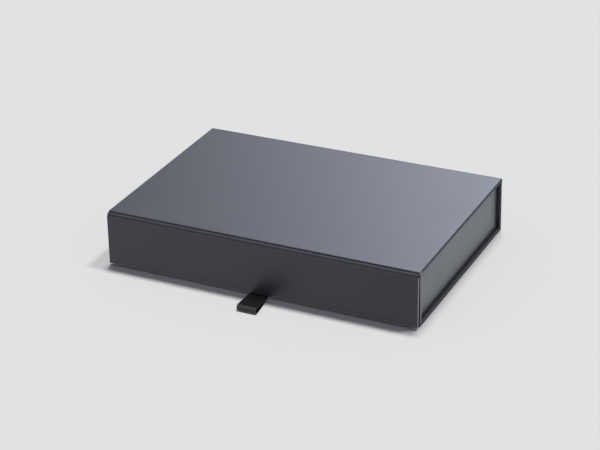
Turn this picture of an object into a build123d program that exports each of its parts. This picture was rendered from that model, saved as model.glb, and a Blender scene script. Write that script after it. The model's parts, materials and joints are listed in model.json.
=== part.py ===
from build123d import *
import os
from dataclasses import dataclass
from math import cos, radians, sin

# A book-style rigid gift box: five greyboard panels (front wall, base, spine, lid and flap) wrapped
# in one sheet of paper, with two side walls set in between. The lid turns at the rear crease, the
# flap turns at the front crease and closes on magnets, and a folded ribbon opens it.
#
# Frame: origin at the centre of the base's underside, +X along the long side to the right,
# +Y to the spine, +Z up. All sizes are in millimetres.

# --- Overall sizes -------------------------------------------------------------------------------
case_length = 240.0       # along X, over the paper
base_depth = 156.0        # along Y, front wall's outer face to spine's outer face
case_height = 42.0        # underside to the top of the closed lid

# --- Board and paper -----------------------------------------------------------------------------
board = 2.5               # greyboard
wrap = 0.2                # laminated cover paper
liner = 0.15              # inside paper
turn_in = 14.0            # cover paper turned over a free edge onto the inner face
liner_margin = 2.0        # bare turn-in left round the liner
board_softness = 0.4      # rounding of a board's pressed edges
crease_lip = 1.2          # cover paper down a board's edge before it crosses a crease

# --- Side walls ----------------------------------------------------------------------------------
side_inset = 2.5          # outer face of a side wall inside the case's end
side_fit = 0.05           # side wall's ends to the walls they stand between
side_turn_in = 10.0       # cover paper turned over a side wall's edges
side_liner_margin = 2.0
lid_seat_gap = 0.1        # wall tops to the lid's liner

# --- Rear crease: spine to lid -------------------------------------------------------------------
spine_drop = 0.55         # spine's top edge below the lid's underside
lid_rear_setback = 1.2    # lid's rear edge ahead of the spine's outer face
rear_crease_dip = 0.15    # crease paper below the lid's top and inside the spine's face
rear_crease_radius = 0.8
lid_pivot_inset = 0.5     # lid's turning axis inside the rear top corner

# --- Front crease: lid to flap -------------------------------------------------------------------
flap_gap = 0.9            # flap's liner to the front wall, at the crease
lid_front_overhang = 0.75  # lid's front edge ahead of the front wall's outer face
flap_drop = 2.8           # flap's top edge below the lid's top
flap_floor_gap = 1.5      # flap's bottom edge above the floor
flap_ajar = 2.0           # degrees that the closed flap stands off, as it rests
front_crease_dip = 0.85   # crease paper below the lid's top and inside the flap's face
front_crease_radius = 1.7
flap_pivot_inset = 1.25   # flap's turning axis inside the front top corner
crease_paper_gap = 0.04   # crease paper's end to the next panel

# --- Magnets and plates --------------------------------------------------------------------------
magnet_diameter = 12.0
magnet_thickness = 1.5
plate_diameter = 14.0
plate_thickness = 0.8
pocket_gap = 0.1          # round a magnet or plate in its pocket
magnet_spacing = 150.0    # centre to centre along X
magnet_height = 22.0      # above the base's underside

# --- Corner tabs ---------------------------------------------------------------------------------
tab_paper = 0.3
tab_on_side = 12.0
tab_on_wall = 20.0
tab_top_gap = 4.0         # below the wall tops
tab_corner_cut = 4.0

# --- Ribbon pull ---------------------------------------------------------------------------------
ribbon_width = 15.0
ribbon_thickness = 0.3
ribbon_offset = 1.0       # ribbon's centre right of the case's centre, at the flap
ribbon_tail = 20.0        # both layers glued up the flap's inner side
ribbon_slot_gap = 0.1     # recess round the glued tail
ribbon_edge_gap = 0.15    # ribbon under the flap's bottom edge
ribbon_bend_radius = 0.5
ribbon_root_gap = 0.05    # loop's root to the end of the tail
ribbon_root_reach = 0.5   # loop's turning axis ahead of the flap's face
ribbon_reach = 20.9       # turning axis to the centre of the front fold
ribbon_fold_radius = 2.1
ribbon_fold_rise = 1.15   # centre of the front fold above the turning axis
ribbon_parting = 2.4      # where the two layers come apart
ribbon_skew = 5.5         # degrees that the loop lies off square, to the right

# --- Sizes that follow ---------------------------------------------------------------------------
half_length = case_length / 2
half_depth = base_depth / 2
panel = wrap + board + wrap          # a wrapped board
lined_panel = panel + liner
wrap_softness = board_softness + wrap
lid_underside = case_height - lined_panel
wall_top = lid_underside - lid_seat_gap
spine_top = lid_underside - spine_drop
lid_front = -half_depth - lid_front_overhang
lid_rear = half_depth - lid_rear_setback
flap_face = -half_depth - flap_gap - lined_panel
flap_pivot = Vector(0, flap_face + flap_pivot_inset, case_height - flap_pivot_inset)
flap_outward = Vector(0, -cos(radians(flap_ajar)), sin(radians(flap_ajar)))
side_face = half_length - side_inset
inner_x = side_face - lined_panel
inner_y = half_depth - lined_panel
ribbon_double = 2 * ribbon_thickness

# --- Kinds of panel edge -------------------------------------------------------------------------
FREE = "wrapped and turned in"
CREASE = "open, with a crease to the next moving panel"
CORNER = "wrapped, and going on under the next fixed panel"
BUTT = "bare, against the next fixed panel"

os.makedirs("parts", exist_ok=True)


def save(builder, label):
    """Labels a finished piece and writes it under its name."""
    builder.part.label = label
    export_step(builder.part, f"parts/{label}.step")


@dataclass
class Panel:
    """A wrapped board: its outer face lies on plane, and the board is behind it."""

    plane: Plane
    length: float          # along the plane's x
    low: float             # lower edge along the plane's y
    high: float            # upper edge along the plane's y
    low_edge: str
    high_edge: str
    turned: float = turn_in
    margin: float = liner_margin

    def slab(self, top, thickness, x_inset, low, high):
        """A plain slab from depth top downwards, in from the ends and between two edges."""
        with BuildPart() as block:
            with BuildSketch(self.plane.offset(-top)):
                with Locations((0, (low + high) / 2)):
                    Rectangle(self.length - 2 * x_inset, high - low)
            extrude(amount=-thickness)
        return block.part

    def soft_edges(self, solid, low, high):
        """The edges of a slab that are pressed round: all but those along a butted edge."""
        butted = []
        if self.low_edge == BUTT:
            butted.append(low)
        if self.high_edge == BUTT:
            butted.append(high)

        def is_soft(edge):
            height = self.plane.to_local_coords(edge.center()).Y
            return all(abs(height - level) > wrap for level in butted)

        return solid.edges().filter_by(is_soft)

    def board_span(self):
        """The board's lower and upper edges, one paper inside the panel unless butted."""
        low = self.low if self.low_edge == BUTT else self.low + wrap
        high = self.high if self.high_edge == BUTT else self.high - wrap
        return low, high

    def board_blank(self):
        """The greyboard."""
        low, high = self.board_span()
        with BuildPart() as blank:
            add(self.slab(wrap, board, wrap, low, high))
            fillet(self.soft_edges(blank.part, low, high), board_softness)
        return blank.part

    def window(self):
        """The lower and upper limits of the inner face that no turn-in covers."""
        inset = {FREE: self.turned, CREASE: wrap, CORNER: wrap, BUTT: 0}
        return self.low + inset[self.low_edge], self.high - inset[self.high_edge]

    def cover(self):
        """The cover paper: outer face, wrapped edges and turn-ins."""
        board_low, board_high = self.board_span()
        window_low, window_high = self.window()
        with BuildPart() as paper:
            add(self.slab(0, panel, 0, self.low, self.high))
            fillet(self.soft_edges(paper.part, self.low, self.high), wrap_softness)
            add(self.board_blank(), mode=Mode.SUBTRACT)
            opening = self.slab(panel - wrap, 2 * wrap, self.turned, window_low, window_high)
            add(opening, mode=Mode.SUBTRACT)
            if self.low_edge == CREASE:
                gap = self.slab(crease_lip, panel, wrap, self.low - wrap, board_low)
                add(gap, mode=Mode.SUBTRACT)
            if self.high_edge == CREASE:
                gap = self.slab(crease_lip, panel, wrap, board_high, self.high + wrap)
                add(gap, mode=Mode.SUBTRACT)
        return paper.part

    def lining(self):
        """The inside paper: a flat sheet, filled out to the board between the turn-ins."""
        inset = {FREE: self.margin, CREASE: wrap - liner, CORNER: panel, BUTT: liner}
        low = self.low + inset[self.low_edge]
        high = self.high - inset[self.high_edge]
        board_low, board_high = self.board_span()
        window_low, window_high = self.window()
        fill_low = max(low, window_low)
        fill_high = min(high, window_high)
        lip_depth = lined_panel - crease_lip
        with BuildPart() as paper:
            add(self.slab(panel, liner, self.margin, low, high))
            add(self.slab(panel - wrap, wrap, self.turned, fill_low, fill_high))
            if self.low_edge == CREASE:
                add(self.slab(crease_lip, lip_depth, self.margin, low, board_low))
            if self.high_edge == CREASE:
                add(self.slab(crease_lip, lip_depth, self.margin, board_high, high))
        return paper.part


base = Panel(
    Plane(origin=(0, 0, 0), x_dir=(1, 0, 0), z_dir=(0, 0, -1)),
    case_length, panel - half_depth, half_depth - panel, BUTT, BUTT)
front_wall = Panel(
    Plane(origin=(0, -half_depth, 0), x_dir=(1, 0, 0), z_dir=(0, -1, 0)),
    case_length, 0, wall_top, CORNER, FREE)
spine = Panel(
    Plane(origin=(0, half_depth, 0), x_dir=(-1, 0, 0), z_dir=(0, 1, 0)),
    case_length, 0, spine_top, CORNER, CREASE)
lid = Panel(
    Plane(origin=(0, 0, case_height), x_dir=(1, 0, 0), z_dir=(0, 0, 1)),
    case_length, lid_front, lid_rear, CREASE, CREASE)
flap_hinge_plane = Plane(origin=flap_pivot, x_dir=(1, 0, 0), z_dir=flap_outward)
flap = Panel(
    flap_hinge_plane.offset(flap_pivot_inset),
    case_length, flap_pivot_inset - case_height + flap_floor_gap, flap_pivot_inset - flap_drop,
    FREE, CREASE)


def side_panel(side):
    """A side wall, standing on the base's liner between the front wall and the spine."""
    return Panel(
        Plane(origin=(side * side_face, 0, 0), x_dir=(0, side, 0), z_dir=(side, 0, 0)),
        2 * (inner_y - side_fit), lined_panel, wall_top, FREE, FREE,
        side_turn_in, side_liner_margin)


# --- Base, front wall and spine: the fixed part of the case --------------------------------------
with BuildPart() as base_board:
    add(base.board_blank())
save(base_board, "base_board")

with BuildPart() as base_wrap:
    add(base.cover())
save(base_wrap, "base_wrap")

with BuildPart() as base_liner:
    add(base.lining())
save(base_liner, "base_liner")

with BuildPart() as front_wall_board:
    add(front_wall.board_blank())
    with BuildSketch(front_wall.plane.offset(-wrap)):
        with Locations((0, magnet_height)):
            with GridLocations(magnet_spacing, 0, 2, 1):
                Circle(plate_diameter / 2 + pocket_gap)
    extrude(amount=-plate_thickness, mode=Mode.SUBTRACT)
save(front_wall_board, "front_wall_board")

with BuildPart() as front_wall_wrap:
    add(front_wall.cover())
save(front_wall_wrap, "front_wall_wrap")

with BuildPart() as front_wall_liner:
    add(front_wall.lining())
save(front_wall_liner, "front_wall_liner")

with BuildPart() as spine_board:
    add(spine.board_blank())
save(spine_board, "spine_board")

with BuildPart() as spine_wrap:
    add(spine.cover())
save(spine_wrap, "spine_wrap")

with BuildPart() as spine_liner:
    add(spine.lining())
save(spine_liner, "spine_liner")

# --- Side walls ----------------------------------------------------------------------------------
for side, side_name in ((-1, "left"), (1, "right")):
    wall = side_panel(side)

    with BuildPart() as side_board:
        add(wall.board_blank())
    save(side_board, f"side_board_{side_name}")

    with BuildPart() as side_wrap:
        add(wall.cover())
    save(side_wrap, f"side_wrap_{side_name}")

    with BuildPart() as side_liner:
        add(wall.lining())
    save(side_liner, f"side_liner_{side_name}")

# --- Corner tabs: folded paper that ties each side wall to the front wall or the spine -----------
tab_height = wall_top - tab_top_gap - lined_panel
for side, side_name in ((-1, "left"), (1, "right")):
    for end, end_name in ((-1, "front"), (1, "rear")):
        with BuildPart() as corner_tab:
            with BuildSketch(Plane.XY.offset(lined_panel)):
                with Locations((side * (inner_x - tab_on_wall / 2), end * (inner_y - tab_paper / 2))):
                    Rectangle(tab_on_wall, tab_paper)
                with Locations((side * (inner_x - tab_paper / 2), end * (inner_y - tab_on_side / 2))):
                    Rectangle(tab_paper, tab_on_side)
            extrude(amount=tab_height)
            wall_ends = corner_tab.edges().filter_by(Axis.Y).sort_by(Axis.X, reverse=side < 0)[:2]
            side_ends = corner_tab.edges().filter_by(Axis.X).sort_by(Axis.Y, reverse=end < 0)[:2]
            chamfer(wall_ends + side_ends, tab_corner_cut)
        save(corner_tab, f"corner_tab_{end_name}_{side_name}")

# --- Lid -----------------------------------------------------------------------------------------
with BuildPart() as lid_board:
    add(lid.board_blank())
save(lid_board, "lid_board")

with BuildPart() as lid_wrap:
    add(lid.cover())
save(lid_wrap, "lid_wrap")

with BuildPart() as lid_liner:
    add(lid.lining())
save(lid_liner, "lid_liner")

# --- Flap, with the recess that takes the ribbon's glued tail ------------------------------------
flap_inner = flap.plane.offset(-panel)
ribbon_slot_depth = ribbon_double + ribbon_slot_gap

with BuildPart() as ribbon_slot:
    with BuildSketch(flap_inner):
        with Locations((ribbon_offset, flap.low + (ribbon_tail + ribbon_slot_gap) / 2)):
            Rectangle(ribbon_width + 2 * ribbon_slot_gap, ribbon_tail + ribbon_slot_gap)
    extrude(amount=ribbon_slot_depth)

flap_magnet_height = magnet_height - case_height + flap_pivot_inset
flap_magnet_plane = flap.plane.offset(wrap - panel)

with BuildPart() as flap_board:
    add(flap.board_blank())
    with BuildSketch(flap_magnet_plane):
        with Locations((0, flap_magnet_height)):
            with GridLocations(magnet_spacing, 0, 2, 1):
                Circle(magnet_diameter / 2 + pocket_gap)
    extrude(amount=magnet_thickness, mode=Mode.SUBTRACT)
    add(ribbon_slot.part, mode=Mode.SUBTRACT)
save(flap_board, "flap_board")

with BuildPart() as flap_wrap:
    add(flap.cover())
    add(ribbon_slot.part, mode=Mode.SUBTRACT)
save(flap_wrap, "flap_wrap")

with BuildPart() as flap_liner:
    add(flap.lining())
    add(ribbon_slot.part, mode=Mode.SUBTRACT)
save(flap_liner, "flap_liner")

# --- Magnets in the flap and the steel plates they close on --------------------------------------
for side, side_name in ((-1, "left"), (1, "right")):
    with BuildPart() as magnet:
        with BuildSketch(flap_magnet_plane):
            with Locations((side * magnet_spacing / 2, flap_magnet_height)):
                Circle(magnet_diameter / 2)
        extrude(amount=magnet_thickness)
    save(magnet, f"flap_magnet_{side_name}")

    with BuildPart() as plate:
        with BuildSketch(front_wall.plane.offset(-wrap)):
            with Locations((side * magnet_spacing / 2, magnet_height)):
                Circle(plate_diameter / 2)
        extrude(amount=-plate_thickness)
    save(plate, f"strike_plate_{side_name}")


# --- Crease papers: the cover paper and the liner glued to it, across each hinge -----------------
def crease_paper(start, corner, end, radius, thickness, length):
    """A strip of paper along X whose mid-line runs from start round corner to end, in (Y, Z)."""
    with BuildPart() as strip:
        with BuildSketch(Plane.YZ.offset(-length / 2)):
            with BuildLine():
                FilletPolyline(start, corner, end, radius=radius)
            trace(line_width=thickness)
        extrude(amount=length)
    return strip.part


def rear_crease(depth, thickness, length):
    """A layer of the rear crease, depth below its outer surface."""
    dip = rear_crease_dip + depth
    height = case_height - dip
    start = (lid_rear, height)
    corner = (half_depth - dip, height)
    end = (half_depth - dip, spine_top + crease_paper_gap)
    return crease_paper(start, corner, end, rear_crease_radius - depth, thickness, length)


def front_crease(depth, thickness, length):
    """A layer of the front crease, depth below its outer surface."""
    dip = front_crease_dip + depth
    height = case_height - dip
    flap_top = flap.plane.from_local_coords((0, flap.high + crease_paper_gap, -dip))
    start = (lid_front, height)
    corner = (flap_face + dip, height)
    end = (flap_top.Y, flap_top.Z)
    return crease_paper(start, corner, end, front_crease_radius - depth, thickness, length)


with BuildPart() as rear_crease_wrap:
    add(rear_crease(wrap / 2, wrap, case_length))
save(rear_crease_wrap, "rear_crease_wrap")

with BuildPart() as rear_crease_liner:
    add(rear_crease(wrap + liner / 2, liner, case_length - 2 * liner_margin))
save(rear_crease_liner, "rear_crease_liner")

with BuildPart() as front_crease_wrap:
    add(front_crease(wrap / 2, wrap, case_length))
save(front_crease_wrap, "front_crease_wrap")

with BuildPart() as front_crease_liner:
    add(front_crease(wrap + liner / 2, liner, case_length - 2 * liner_margin))
save(front_crease_liner, "front_crease_liner")

# --- Ribbon: a tail of two layers glued into the flap, and a free folded loop --------------------
# Its path is drawn square to the flap: x outwards from the flap's face, y up along the flap.
ribbon_left = ribbon_offset - ribbon_width / 2
ribbon_side = Plane(
    origin=flap.plane.from_local_coords((ribbon_left, 0, 0)),
    x_dir=flap_outward, z_dir=(-1, 0, 0))
ribbon_level = flap.low - ribbon_edge_gap - ribbon_thickness
ribbon_inside = ribbon_double / 2 - panel

with BuildPart() as ribbon_tail_piece:
    with BuildSketch(ribbon_side):
        with BuildLine():
            FilletPolyline(
                (ribbon_inside, flap.low + ribbon_tail),
                (ribbon_inside, ribbon_level),
                (ribbon_root_reach - ribbon_thickness - ribbon_root_gap, ribbon_level),
                radius=ribbon_bend_radius)
        trace(line_width=ribbon_double)
    extrude(amount=-ribbon_width)
save(ribbon_tail_piece, "ribbon_tail")

ribbon_axis = flap.plane.from_local_coords((ribbon_left, ribbon_level, ribbon_root_reach))
loop_side = Plane(
    origin=ribbon_axis,
    x_dir=(sin(radians(ribbon_skew)), -cos(radians(ribbon_skew)), 0),
    z_dir=(-cos(radians(ribbon_skew)), -sin(radians(ribbon_skew)), 0))

with BuildPart() as ribbon_loop:
    with BuildSketch(loop_side):
        Circle(ribbon_thickness)
        with Locations((ribbon_reach, ribbon_fold_rise)):
            Circle(ribbon_fold_radius)
        make_hull()
    extrude(amount=ribbon_width, dir=(1, 0, 0))
    with BuildSketch(loop_side):
        with Locations((ribbon_parting, 0)):
            Circle(ribbon_thickness / 10)
        with Locations((ribbon_reach, ribbon_fold_rise)):
            Circle(ribbon_fold_radius - ribbon_thickness)
        make_hull()
    extrude(amount=ribbon_width, dir=(1, 0, 0), mode=Mode.SUBTRACT)
save(ribbon_loop, "ribbon_loop")

print("lid axis", 0, half_depth - lid_pivot_inset, case_height - lid_pivot_inset)
print("flap axis", flap_pivot)
print("ribbon axis", ribbon_axis)
print("tray inside", 2 * inner_x, 2 * inner_y, wall_top - lined_panel)
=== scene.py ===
import json
import math

import bmesh
import bpy
from mathutils import Matrix, Vector, noise


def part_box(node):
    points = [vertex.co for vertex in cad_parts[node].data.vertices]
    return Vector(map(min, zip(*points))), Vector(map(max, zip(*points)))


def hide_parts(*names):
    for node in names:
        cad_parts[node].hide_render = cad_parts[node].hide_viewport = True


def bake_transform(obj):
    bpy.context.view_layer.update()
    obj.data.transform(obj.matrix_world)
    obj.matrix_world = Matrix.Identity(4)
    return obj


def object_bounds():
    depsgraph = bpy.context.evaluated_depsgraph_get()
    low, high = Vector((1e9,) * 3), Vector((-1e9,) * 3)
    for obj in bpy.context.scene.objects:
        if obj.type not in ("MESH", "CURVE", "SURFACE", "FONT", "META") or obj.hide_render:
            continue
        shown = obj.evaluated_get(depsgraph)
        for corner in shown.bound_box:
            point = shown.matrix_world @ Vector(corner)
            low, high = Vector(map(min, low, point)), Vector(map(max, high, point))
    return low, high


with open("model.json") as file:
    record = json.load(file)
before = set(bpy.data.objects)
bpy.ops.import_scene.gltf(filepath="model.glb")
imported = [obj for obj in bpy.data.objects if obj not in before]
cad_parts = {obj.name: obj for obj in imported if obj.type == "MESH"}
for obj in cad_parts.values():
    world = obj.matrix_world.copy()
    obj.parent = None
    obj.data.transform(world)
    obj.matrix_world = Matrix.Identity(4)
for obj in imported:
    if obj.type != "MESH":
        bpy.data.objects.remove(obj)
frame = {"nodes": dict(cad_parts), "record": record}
cad_low, cad_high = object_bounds()
MM = 0.001

# --- Places taken from the CAD frame, in metres ---------------------------------------------------
lid_low, lid_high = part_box("lid_wrap")
flap_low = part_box("flap_wrap")[0]
wall_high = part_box("front_wall_wrap")[1]
spine_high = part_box("spine_wrap")[1]
joints = {joint["name"]: joint for joint in frame["record"]["behaviour"]["joints"]}
flap_pivot = Vector(joints["flap_hinge"]["pos_m"])
ribbon_pivot = Vector(joints["ribbon_bend"]["pos_m"])
HALF = lid_high.x

# the flap's own directions, as it stands at rest
FLAP_AJAR = math.radians(2.0)
FLAP_OUT = Vector((0, -math.cos(FLAP_AJAR), math.sin(FLAP_AJAR)))
FLAP_UP = Vector((0, math.sin(FLAP_AJAR), math.cos(FLAP_AJAR)))


# --- Camera ---------------------------------------------------------------------------------------
def make_camera():
    """The photograph's viewpoint, fitted to the straight edges of the box."""
    place = (0.52668, -1.06163, 0.62104)
    yaw, pitch, roll = -0.4659, 0.4714, -0.0321
    focal_px, frame_px, sensor_mm = 1827.0, 600, 36
    look = Vector((math.sin(yaw) * math.cos(pitch), math.cos(yaw) * math.cos(pitch),
                   -math.sin(pitch)))
    level = Vector((math.cos(yaw), -math.sin(yaw), 0))
    upright = level.cross(look)
    right = level * math.cos(roll) + upright * math.sin(roll)
    up = upright * math.cos(roll) - level * math.sin(roll)
    data = bpy.data.cameras.new("camera")
    data.sensor_width = sensor_mm
    data.lens = sensor_mm * focal_px / frame_px
    data.clip_start, data.clip_end = 0.01, 50
    camera = bpy.data.objects.new("camera", data)
    camera.matrix_world = Matrix((right, up, -look)).transposed().to_4x4()
    camera.location = place
    bpy.context.collection.objects.link(camera)
    bpy.context.scene.camera = camera


# --- Node trees -----------------------------------------------------------------------------------
class Nodes:
    """Short calls that add nodes to a tree and give their output sockets."""

    def __init__(self, tree):
        self.tree = tree

    def node(self, kind, inputs=None, **settings):
        """A new node's outputs. An input given as a socket is linked, any other is set."""
        made = self.tree.nodes.new(kind)
        for key, value in settings.items():
            setattr(made, key, value)
        for key, value in (inputs or {}).items():
            if isinstance(value, bpy.types.NodeSocket):
                self.tree.links.new(value, made.inputs[key])
            else:
                made.inputs[key].default_value = value
        return made.outputs

    def math(self, operation, first, second=0.0):
        return self.node("ShaderNodeMath", {0: first, 1: second}, operation=operation)[0]

    def ramp(self, value, low, high, out_low=0.0, out_high=1.0, kind="LINEAR"):
        """The run of a value from low to high, mapped to out_low to out_high and held beyond."""
        return self.node("ShaderNodeMapRange", {
            "Value": value, "From Min": low, "From Max": high,
            "To Min": out_low, "To Max": out_high}, interpolation_type=kind)[0]

    def ease(self, value, low, high, out_low=0.0, out_high=1.0):
        """A ramp with soft ends."""
        return self.ramp(value, low, high, out_low, out_high, "SMOOTHSTEP")

    def between(self, share, first, second):
        """A number between two numbers."""
        return self.node("ShaderNodeMix", {0: share, 2: first, 3: second})[0]

    def colour(self, share, first, second):
        """A colour between two colours, each a socket or its red, green and blue."""
        first, second = (
            value if isinstance(value, bpy.types.NodeSocket) else (*value, 1)
            for value in (first, second))
        return self.node("ShaderNodeMix", {0: share, 6: first, 7: second}, data_type="RGBA")[2]

    def reflected(self):
        """1 where a surface is seen in a reflection or through something, otherwise 0."""
        path = self.node("ShaderNodeLightPath")
        return self.math("MAXIMUM", path["Is Glossy Ray"], path["Is Transmission Ray"])


class Look(Nodes):
    """A procedural material around one Principled shader."""

    def __init__(self, name, **constants):
        self.material = bpy.data.materials.new(name)
        self.material.use_nodes = True
        super().__init__(self.material.node_tree)
        self.shader = self.tree.nodes["Principled BSDF"]
        for socket, value in constants.items():
            self.shader.inputs[socket.replace("_", " ")].default_value = value
        self.place = self.node("ShaderNodeTexCoord")["Object"]

    def stretched(self, scale, turn=(0, 0, 0), vector=None):
        """Coordinates in which a grain is this many times finer along X, Y and Z."""
        return self.node("ShaderNodeMapping", {
            "Vector": vector or self.place, "Scale": scale, "Rotation": turn})[0]

    def grain(self, size, detail=3, rough=0.55, vector=None, distort=0.0):
        """Noise whose features are about size mm across."""
        return self.node("ShaderNodeTexNoise", {
            "Vector": vector or self.place, "Scale": 1 / (size * MM), "Detail": detail,
            "Roughness": rough, "Distortion": distort})["Fac"]

    def bump(self, height, depth, under=None):
        """The normal of a relief about depth mm deep, laid over another normal if one is given."""
        inputs = {"Height": height, "Distance": depth * MM}
        if under is not None:
            inputs["Normal"] = under
        return self.node("ShaderNodeBump", inputs)[0]

    def finish(self, colour, roughness, normal):
        """Links what varies over the surface, and gives the material."""
        for socket, value in (("Base Color", colour), ("Roughness", roughness), ("Normal", normal)):
            self.tree.links.new(value, self.shader.inputs[socket])
        return self.material


# --- Materials ------------------------------------------------------------------------------------
def dull_ends(look):
    """Roughness added behind the front wall, where paper is stretched over the boards' ends."""
    added, starts, full = 0.34, HALF - 0.45 * MM, HALF - 0.1 * MM
    place = look.node("ShaderNodeSeparateXYZ", {0: look.place})
    turned = look.ramp(look.math("ABSOLUTE", place["X"]), starts, full)
    behind = look.math("GREATER_THAN", place["Y"], wall_high.y)
    return look.math("MULTIPLY", look.math("MULTIPLY", turned, behind), added)


def cover_paper():
    """Charcoal paper under a satin laminate: fine fibres, a slight orange peel, broad mottling."""
    look = Look("cover_paper", IOR=1.62, Specular_Tint=(0.8, 0.84, 1.0, 1))
    dark, pale, clouded = (0.026, 0.0248, 0.0275), (0.034, 0.0324, 0.036), (0.038, 0.0362, 0.040)
    fibres = look.grain(0.6, 4, 0.6, look.stretched((1.0, 2.6, 1.7), (0.2, 0.1, 0.5)), 0.6)
    specks = look.grain(0.22, 2)
    cloud = look.grain(30, 4, 0.5)
    peel = look.grain(1.6, 2, 0.4)
    colour = look.colour(look.ramp(fibres, 0.35, 0.7), dark, pale)
    colour = look.colour(look.ramp(cloud, 0.35, 0.7, 0, 0.35), colour, clouded)
    roughness = look.math("ADD", look.ramp(cloud, 0.3, 0.7, 0.33, 0.37),
                          look.ramp(fibres, 0.3, 0.7, -0.015, 0.02))
    roughness = look.math("ADD", roughness, dull_ends(look))
    relief = look.bump(look.math("ADD", fibres, specks), 0.008, look.bump(peel, 0.02))
    return look.finish(colour, roughness, relief)


def liner_paper():
    """Uncoated black paper, matt, with a felt side's short fibres."""
    look = Look("liner_paper", IOR=1.46, Sheen_Weight=0.08, Sheen_Roughness=0.5)
    dark, pale, clouded = (0.019, 0.019, 0.021), (0.036, 0.036, 0.039), (0.032, 0.032, 0.034)
    fibres = look.grain(0.9, 5, 0.65, look.stretched((1.0, 3.2, 2.0), (0.1, 0.3, 0.9)), 0.9)
    cloud = look.grain(20)
    specks = look.grain(0.3, 2)
    colour = look.colour(look.ramp(fibres, 0.3, 0.72), dark, pale)
    colour = look.colour(look.ramp(cloud, 0.35, 0.7, 0, 0.3), colour, clouded)
    roughness = look.ramp(specks, 0.3, 0.7, 0.72, 0.86)
    return look.finish(colour, roughness, look.bump(look.math("ADD", fibres, specks), 0.03))


def tab_paper():
    """Thin black card of the corner tabs."""
    look = Look("tab_paper", IOR=1.48)
    dark, pale = (0.025, 0.025, 0.027), (0.041, 0.041, 0.044)
    fibres = look.grain(0.7, 4, 0.6, look.stretched((1.6, 1.0, 3.0)), 0.5)
    cloud = look.grain(12)
    colour = look.colour(look.ramp(fibres, 0.3, 0.7), dark, pale)
    return look.finish(colour, look.ramp(cloud, 0.3, 0.7, 0.58, 0.7), look.bump(fibres, 0.02))


def greyboard():
    """Pressed grey board: pulp clumps, pale fibres and small dark flecks."""
    look = Look("greyboard", IOR=1.45)
    dark, pale = (0.33, 0.315, 0.29), (0.45, 0.43, 0.4)
    fibre, fleck = (0.52, 0.5, 0.46), (0.12, 0.12, 0.13)
    flecks_per_m = 700.0
    clumps = look.grain(4, 5, 0.65, distort=0.8)
    fibres = look.grain(0.8, 5, 0.7, look.stretched((1.0, 2.4, 4.0)), 1.2)
    flecks = look.node("ShaderNodeTexVoronoi", {"Vector": look.place, "Scale": flecks_per_m})["Distance"]
    colour = look.colour(look.ramp(clumps, 0.3, 0.7), dark, pale)
    colour = look.colour(look.ramp(fibres, 0.45, 0.75, 0, 0.7), colour, fibre)
    colour = look.colour(look.ramp(flecks, 0.0, 0.16, 0.75, 0), colour, fleck)
    relief = look.bump(look.math("ADD", clumps, fibres), 0.06)
    return look.finish(colour, look.ramp(fibres, 0.3, 0.7, 0.82, 0.94), relief)


def metal(name, colour, dark, rough, line):
    """Plated or tinned metal: fine drawn lines, small scratches and dull patches."""
    look = Look(name, Metallic=1.0)
    lines = look.grain(0.2, 3, 0.6, look.stretched(line))
    cloud = look.grain(3, 4)
    scratches = look.grain(1.2, 2, 0.5, look.stretched((0.15, 6, 2.5), (0, 0, 0.7)))
    shade = look.colour(look.ramp(cloud, 0.35, 0.7), colour, dark)
    roughness = look.math("ADD", look.ramp(cloud, 0.3, 0.7, rough, rough + 0.14),
                          look.ramp(scratches, 0.62, 0.7, 0, 0.12))
    return look.finish(shade, roughness, look.bump(lines, 0.004))


def ribbon_satin():
    """Black satin: long fine threads along the ribbon, and shorter steps between them."""
    look = Look("ribbon_satin", IOR=1.66, Sheen_Weight=0.02, Sheen_Roughness=0.35)
    dark, pale = (0.0035, 0.0035, 0.004), (0.0075, 0.0075, 0.0085)
    cloth = look.node("ShaderNodeUVMap", uv_map="cloth")[0]
    threads = look.grain(1, 1, 0.5, look.stretched((9, 0.35, 1), vector=cloth))
    steps = look.grain(1, 2, 0.6, look.stretched((8, 1.5, 1), vector=cloth))
    cloud = look.grain(4, 3, 0.5, cloth)
    colour = look.colour(look.ramp(threads, 0.3, 0.7), dark, pale)
    roughness = look.math("ADD", look.ramp(cloud, 0.3, 0.7, 0.36, 0.42),
                          look.ramp(steps, 0.3, 0.7, -0.04, 0.05))
    return look.finish(colour, roughness, look.bump(look.math("ADD", threads, steps), 0.014))


LOOKS = {
    "cover_paper": cover_paper(),
    "liner_paper": liner_paper(),
    "tab_paper": tab_paper(),
    "greyboard": greyboard(),
    "magnet": metal("magnet", (0.62, 0.61, 0.58), (0.5, 0.49, 0.46), 0.2, (1, 1, 12)),
    "plate_steel": metal("plate_steel", (0.52, 0.52, 0.54), (0.4, 0.4, 0.42), 0.3, (14, 1, 1)),
    "ribbon_satin": ribbon_satin(),
}


def dress(obj, slot):
    """Gives a piece its slot's material."""
    obj.data.materials.clear()
    obj.data.materials.append(LOOKS[slot])


# --- Paths and strips -----------------------------------------------------------------------------
def rounded(points, radius, steps=6):
    """A polyline in two dimensions with its inner corners rounded."""
    out = [Vector(points[0])]
    for before, corner, after in zip(points, points[1:], points[2:]):
        corner = Vector(corner)
        a, b = Vector(before) - corner, Vector(after) - corner
        half = a.angle(b) / 2
        reach = radius / math.tan(half)
        centre = corner + (a.normalized() + b.normalized()).normalized() * (radius / math.sin(half))
        first, last = corner + a.normalized() * reach, corner + b.normalized() * reach
        turn = (first - centre).angle_signed(last - centre)
        for i in range(steps + 1):
            out.append(centre + Matrix.Rotation(-turn * i / steps, 2) @ (first - centre))
    out.append(Vector(points[-1]))
    return out


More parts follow.
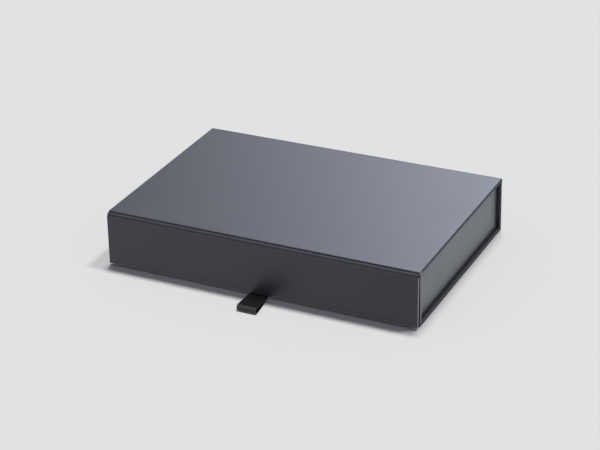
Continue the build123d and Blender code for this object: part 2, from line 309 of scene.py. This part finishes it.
def smooth_curve(points, steps=12):
    """A smooth curve through the points, with this many steps from each to the next."""
    points = [points[0], *points, points[-1]]
    out = []
    for a, b, c, d in zip(points, points[1:], points[2:], points[3:]):
        for k in range(steps):
            t = k / steps
            out.append(0.5 * ((2 * b) + (c - a) * t + (2 * a - 5 * b + 4 * c - d) * t * t
                              + (3 * b - a - 3 * c + d) * t * t * t))
    return out + [points[-1]]


def resampled(path, step):
    """The path cut into even runs no longer than step, and its length."""
    lengths = [0.0]
    for a, b in zip(path, path[1:]):
        lengths.append(lengths[-1] + (b - a).length)
    count = max(2, math.ceil(lengths[-1] / step))
    out, k = [], 0
    for i in range(count + 1):
        s = lengths[-1] * i / count
        while k < len(path) - 2 and lengths[k + 1] < s:
            k += 1
        span = lengths[k + 1] - lengths[k]
        out.append(path[k].lerp(path[k + 1], (s - lengths[k]) / span if span else 0))
    return out, lengths[-1]


def heading(path, i):
    """The way the path runs at its point i."""
    return path[min(i + 1, len(path) - 1)] - path[max(i - 1, 0)]


def strip(name, rows, thickness, across, length):
    """A closed thin mesh. rows[i][j] is (point, normal), and thickness(j) is in metres.

    Its flat map has the marks of across over the columns, and the rows evenly along the length.
    """
    height, width = len(rows), len(rows[0])
    along = [i * length / (height - 1) for i in range(height)]
    verts, faces, uvs = [], [], []
    for side in (1, -1):
        for row in rows:
            for j, (point, normal) in enumerate(row):
                verts.append(point + normal * (side * thickness(j) / 2))

    def add(corners, sides):
        faces.append([(side * height + i) * width + j for side, (i, j) in zip(sides, corners)])
        uvs.extend(value for i, j in corners for value in (across[j], along[i]))

    for i in range(height - 1):
        for j in range(width - 1):
            ring = ((i, j), (i, j + 1), (i + 1, j + 1), (i + 1, j))
            add(ring, (0, 0, 0, 0))
            add(ring[::-1], (1, 1, 1, 1))
    border = [(i, 0) for i in range(height)] + [(height - 1, j) for j in range(1, width)]
    border += [(i, width - 1) for i in range(height - 2, -1, -1)]
    border += [(0, j) for j in range(width - 2, 0, -1)]
    for a, b in zip(border, border[1:] + border[:1]):
        add((a, b, b, a), (0, 0, 1, 1))
    mesh = bpy.data.meshes.new(name)
    mesh.from_pydata(verts, [], faces)
    mesh.uv_layers.new(name="cloth").data.foreach_set("uv", uvs)
    mesh.polygons.foreach_set("use_smooth", [True] * len(faces))
    mesh.update()
    shell = bmesh.new()
    shell.from_mesh(mesh)
    bmesh.ops.recalc_face_normals(shell, faces=shell.faces)
    shell.to_mesh(mesh)
    shell.free()
    obj = bpy.data.objects.new(name, mesh)
    bpy.context.collection.objects.link(obj)
    return obj


# --- Creases: two layers of paper from board to board, with sizes in mm ---------------------------
FRONT, REAR, TOP = lid_low.y / MM, lid_high.y / MM, lid_high.z / MM
BACK, SPINE_TOP = spine_high.y / MM, spine_high.z / MM
FLAP_DROP = 2.8    # from the lid's top to the flap's top edge, along the flap
CREASE_STEP = 0.12
CREASE_COLUMNS = 160
WAVE_HEIGHT = 0.08
WAVES_PER_M, WAVES_PER_ROW, WAVE_SEED = 60, 0.05, 3.1


def near(y, z, *offsets):
    """(Y, Z) places in metres, given as offsets in mm from a place in mm."""
    return [Vector(((y + off_y) * MM, (z + off_z) * MM)) for off_y, off_z in offsets]


def on_flap(below, out):
    """(Y, Z) of a place in mm below the flap's top edge and out from its outer face."""
    inset = TOP - flap_pivot.z / MM
    along = inset - FLAP_DROP - below
    place = flap_pivot + FLAP_UP * (along * MM) + FLAP_OUT * ((inset + out) * MM)
    return Vector((place.y, place.z))


def crease(name, outline, depth, thickness, half, slot):
    """A strip of paper along X, depth below a (Y, Z) outline, and slightly uneven along it."""
    path, length = resampled(smooth_curve(outline), CREASE_STEP * MM)
    xs = [half * (2 * k / CREASE_COLUMNS - 1) for k in range(CREASE_COLUMNS + 1)]
    rows = []
    for i, point in enumerate(path):
        ahead = heading(path, i)
        out = Vector((0, -ahead.y, ahead.x)).normalized()
        swing = WAVE_HEIGHT * MM * math.sin(math.pi * i / (len(path) - 1))
        row = []
        for x in xs:
            bend = swing * noise.noise(Vector((x * WAVES_PER_M, i * WAVES_PER_ROW, WAVE_SEED)))
            row.append((Vector((x, point.x, point.y)) + out * (bend - depth), out))
        rows.append(row)
    obj = strip(name, rows, lambda j: thickness, xs, length)
    dress(obj, slot)
    return obj


# from under the flap's paper, out over the rounded strip and in under the lid's front edge
FRONT_OUTLINE = [
    on_flap(0.3, -1.0), on_flap(-0.2, -1.1),
    *near(FRONT, TOP, (-2.12, -2.35), (-1.85, -1.65), (-1.25, -1.15), (-0.6, -0.92),
          (-0.25, -1.02), (0.12, -1.1))]
# from under the lid's rear edge, over the corner and down into the spine
REAR_OUTLINE = [
    *near(REAR, TOP, (-0.12, -0.42), (0.12, -0.36), (0.5, -0.2)),
    *near(BACK, TOP, (-0.32, -0.42), (-0.12, -1.0), (-0.14, -2.2)),
    *near(BACK, SPINE_TOP, (-0.3, 0.25), (-0.45, 0.02), (-0.5, -0.1))]

# where, outline, two bodies, and the places up to which it follows the one and past which the other
CREASES = (
    ("front", FRONT_OUTLINE, "lid", "flap", *near(FRONT, TOP, (-0.2, -0.9)), on_flap(-0.05, -0.8)),
    ("rear", REAR_OUTLINE, "tray", "lid", *near(BACK, SPINE_TOP, (-0.3, 0.3)),
     *near(REAR, TOP, (0.15, -0.3))),
)
# kind, depth of the layer's middle, thickness, how far it stops short of each end, and slot
LAYERS = (
    ("wrap", 0.1, 0.2, 0, "cover_paper"),
    ("liner", 0.28, 0.15, 2, "liner_paper"),
)
for where, outline, first, second, start, end in CREASES:
    for kind, depth, thick, short, slot in LAYERS:
        piece = crease(f"{where}_crease_{kind}_paper", outline, depth * MM, thick * MM,
                       HALF - short * MM, slot)
        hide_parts(f"{where}_crease_{kind}")
        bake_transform(piece)


# --- Ribbon, with sizes in mm ---------------------------------------------------------------------
RIBBON_WIDTH, RIBBON_THICK = 15.0, 0.3
RIBBON_LEFT = -6.5                    # its left edge at the turning axis, from the box's middle
RIBBON_SKEW = math.radians(5.5)
TAIL_FACE = -2.8                      # front of the tail in the flap's recess, forward of the axis
TAIL_TOP = 19.8                       # the glued end, above the axis
TAIL_BEND = 0.32                      # bend of the inner layer's middle under the flap's edge
LOOP_REACH, LOOP_RISE = 20.9, 1.15    # the fold's centre, forward of and above the axis
FOLD_RADIUS = 2.1                     # to the ribbon's outer side
FOLD_STEPS = 24
RIBBON_STEP = 0.3
RIBBON_COLUMNS = 26
SELVEDGE = (0.14, 0.3, 0.34)          # thickness at the first columns from either edge
CROWN, CROWN_BELOW = 0.1, -0.2        # height in the middle of the loop's top, and its share below
RIPPLE = 0.05
RIPPLES_PER_M = Vector((260, 130, 400))
LOOSE_AFTER = 6.0                     # crown and ripple grow over this run from the axis


def ribbon_route():
    """The ribbon's side view in mm, forward and up from its axis, from one glued end to the other."""
    layer = RIBBON_THICK / 2
    radius = FOLD_RADIUS - layer
    slope = math.atan2(LOOP_RISE, LOOP_REACH)
    spread = math.asin((radius - layer) / math.hypot(LOOP_REACH, LOOP_RISE)) + math.pi / 2
    fold = []
    for k in range(FOLD_STEPS + 1):
        angle = slope + spread * (2 * k / FOLD_STEPS - 1)
        fold.append(Vector((LOOP_REACH + radius * math.cos(angle),
                            LOOP_RISE + radius * math.sin(angle))))
    outer_tail, inner_tail = TAIL_FACE - 3 * layer, TAIL_FACE - layer
    outer = rounded([(outer_tail, TAIL_TOP), (outer_tail, -layer), (0, -layer)],
                    TAIL_BEND + RIBBON_THICK)
    inner = rounded([(inner_tail, TAIL_TOP), (inner_tail, layer), (0, layer)], TAIL_BEND)
    # places along the straight runs from the bend to the fold and back
    lower = [outer[-1].lerp(fold[0], share) for share in (0.06, 0.2, 0.4, 0.6, 0.8)]
    upper = [fold[-1].lerp(inner[-1], share) for share in (0.2, 0.4, 0.6, 0.8, 0.94)]
    return outer + lower + fold + upper + inner[::-1]


def ribbon_thickness(column):
    from_edge = min(column, RIBBON_COLUMNS - column)
    return MM * (SELVEDGE[from_edge] if from_edge < len(SELVEDGE) else RIBBON_THICK)


def make_ribbon():
    """One satin ribbon: down the flap's inner side, out under its edge, round the fold and back."""
    path, length = resampled([point * MM for point in ribbon_route()], RIBBON_STEP * MM)
    width = RIBBON_WIDTH * MM
    across = [width * (0.5 - 0.5 * math.cos(math.pi * k / RIBBON_COLUMNS))
              for k in range(RIBBON_COLUMNS + 1)]
    origin = ribbon_pivot + Vector((RIBBON_LEFT * MM, 0, 0))
    upright = Vector((0, 0, 1))
    forward = Vector((math.sin(RIBBON_SKEW), -math.cos(RIBBON_SKEW), 0))
    rows = []
    for i, point in enumerate(path):
        ahead = heading(path, i)
        side, up = (forward, upright) if point.x > 0 else (FLAP_OUT, FLAP_UP)
        normal = (side * -ahead.y + up * ahead.x).normalized()
        edge = origin + side * point.x + up * point.y
        loose = MM * min(1.0, max(0.0, point.x) / (LOOSE_AFTER * MM))
        crown = loose * CROWN * (1 if point.y > LOOP_RISE * MM else CROWN_BELOW)
        row = []
        for x in across:
            share = 2 * x / width - 1
            ripple = loose * RIPPLE * noise.noise(Vector((x, *point)) * RIPPLES_PER_M)
            place = edge + Vector((x, 0, 0)) + upright * (crown * (1 - share * share))
            row.append((place + normal * ripple, normal))
        rows.append(row)
    obj = strip("ribbon_pull", rows, ribbon_thickness, across, length)
    dress(obj, "ribbon_satin")
    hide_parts("ribbon_tail", "ribbon_loop")
    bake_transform(obj)


make_ribbon()

# --- Materials of the CAD nodes -------------------------------------------------------------------
for part in frame["record"]["subparts"]:
    dress(frame["nodes"][part["node"]], part["material_slot"])


# --- Floor and light ------------------------------------------------------------------------------
PALE = 0.768    # the floor, and the backdrop as the camera sees it


def painted_ribbon_shadow(look, place):
    """A painted shadow of the ribbon's fold on the floor's reflected glow: the share of its tone that is
    left right before the fold.
    """
    centre_x, centre_y = ribbon_pivot.x + 3 * MM, cad_low.y - MM
    half_x, half_y = 13 * MM, 8 * MM
    off_x = look.math("DIVIDE", look.math("SUBTRACT", place["X"], centre_x), half_x)
    off_y = look.math("DIVIDE", look.math("SUBTRACT", place["Y"], centre_y), half_y)
    apart = look.math("ADD", look.math("MULTIPLY", off_x, off_x), look.math("MULTIPLY", off_y, off_y))
    return look.ramp(apart, 0.2, 2.0, 0.5, 1.0)


def make_floor():
    """A pale matt floor that keeps the shadow; the box reflects in its place a glow of painted light and
    painted shade.
    """
    half_size, below = 6, 0.02 * MM
    corners = [(x * half_size, y * half_size, 0) for x, y in ((-1, -1), (1, -1), (1, 1), (-1, 1))]
    mesh = bpy.data.meshes.new("floor")
    mesh.from_pydata(corners, [], [(0, 1, 2, 3)])
    floor = bpy.data.objects.new("floor", mesh)
    floor.location.z = -below
    bpy.context.collection.objects.link(floor)
    look = Look("floor", Roughness=1.0, Base_Color=(PALE, PALE, PALE, 1), Specular_IOR_Level=0.0)
    place = look.node("ShaderNodeSeparateXYZ", {0: look.place})
    # in reflections it glows with painted light and painted shade: bright to the right of the box, but
    # for painted shade at its edge, and duller elsewhere
    aside = look.math("MULTIPLY", look.math("GREATER_THAN", place["X"], HALF - MM),
                      look.math("GREATER_THAN", place["Y"], flap_low.y))
    # painted shade at the box's right edge, rising to painted light beyond it
    painted_glow_beside = look.ramp(place["X"], HALF, HALF + 5 * MM, 0.25, 1.17)
    # painted light in front: the reflected glow is brighter to the left and duller to the right
    ahead = look.ramp(place["X"], -HALF - 30 * MM, HALF - 20 * MM, 0.88, 0.7)
    shown = look.math("MULTIPLY", look.between(aside, ahead, painted_glow_beside), painted_ribbon_shadow(look, place))
    # tint of the painted reflection: warm in front, cool to the right of the box
    tone = look.colour(aside, (1.0, 0.93, 0.95), (0.92, 0.96, 1.0))
    painted_reflection_glow = look.node("ShaderNodeEmission", {"Color": tone, "Strength": shown})[0]
    mixed = look.node("ShaderNodeMixShader", {
        0: look.reflected(), 1: look.shader.outputs[0], 2: painted_reflection_glow})[0]
    look.tree.links.new(mixed, look.tree.nodes["Material Output"].inputs["Surface"])
    mesh.materials.append(look.material)


def make_lamps(leans, angle, strength):
    """A broad soft lamp far off behind the box, made of a row of suns leaning along X."""
    behind, tint = 0.25, (1.0, 1.0, 0.965)
    for number, lean in enumerate(leans):
        data = bpy.data.lights.new(f"lamp_{number}", "SUN")
        data.angle, data.energy = math.radians(angle), strength / len(leans)
        data.color = tint
        lamp = bpy.data.objects.new(f"lamp_{number}", data)
        lamp.rotation_euler = Vector((lean, behind, 1.0)).to_track_quat("Z", "Y").to_euler()
        lamp.visible_glossy = False
        bpy.context.collection.objects.link(lamp)


def make_world():
    """A pale studio: a soft bright backdrop behind the box that falls off to the left."""
    world = bpy.data.worlds.new("studio")
    world.use_nodes = True
    sky = Nodes(world.node_tree)
    way = sky.node("ShaderNodeSeparateXYZ", {0: sky.node("ShaderNodeTexCoord")["Generated"]})
    height = way["Z"]
    bearing = sky.math("ARCTAN2", way["X"], way["Y"])    # 0 straight behind, growing to the right
    # the backdrop
    across = sky.math("MULTIPLY", sky.ease(bearing, math.radians(-34), math.radians(-9)),
                      sky.ease(bearing, 0, math.radians(9), 1, 0))
    upward = sky.math("MULTIPLY", sky.ramp(height, 0, 0.75, 0, 1.7),
                      sky.ease(height, 0.7, 0.9, 1, 0))
    backdrop = sky.math("MULTIPLY", sky.math("MULTIPLY", across, upward), 4.9)
    # the room around it, dimmest beyond the box as the camera looks, and brightest overhead
    facing = math.radians(-26)
    turned = sky.math("ABSOLUTE", sky.math("SUBTRACT", bearing, facing))
    room = sky.between(sky.ease(height, 0.55, 0.9),
                       sky.ease(turned, math.radians(40), math.radians(90), 0.42, 0.65), 1.15)
    room_tone = sky.colour(sky.ease(turned, math.radians(40), math.radians(90)),
                           (0.84, 0.89, 1.0), (0.96, 0.95, 1.0))
    # what reflections show, what lights matt surfaces, and what the camera sees
    reflected, seen = sky.reflected(), sky.node("ShaderNodeLightPath")["Is Camera Ray"]
    fill, fill_tone = 0.2, (0.93, 0.94, 1.1)
    strength = sky.between(reflected, fill, sky.math("ADD", backdrop, room))
    tone = sky.colour(reflected, fill_tone, room_tone)
    background = world.node_tree.nodes["Background"].inputs
    sky.tree.links.new(sky.between(seen, strength, PALE), background["Strength"])
    sky.tree.links.new(sky.colour(seen, tone, (1, 1, 1)), background["Color"])
    bpy.context.scene.world = world


make_camera()
make_floor()
make_world()
make_lamps(leans=(-0.1, 0.02, 0.35), angle=9.0, strength=2.66)
bpy.context.scene.view_settings.view_transform = "Standard"
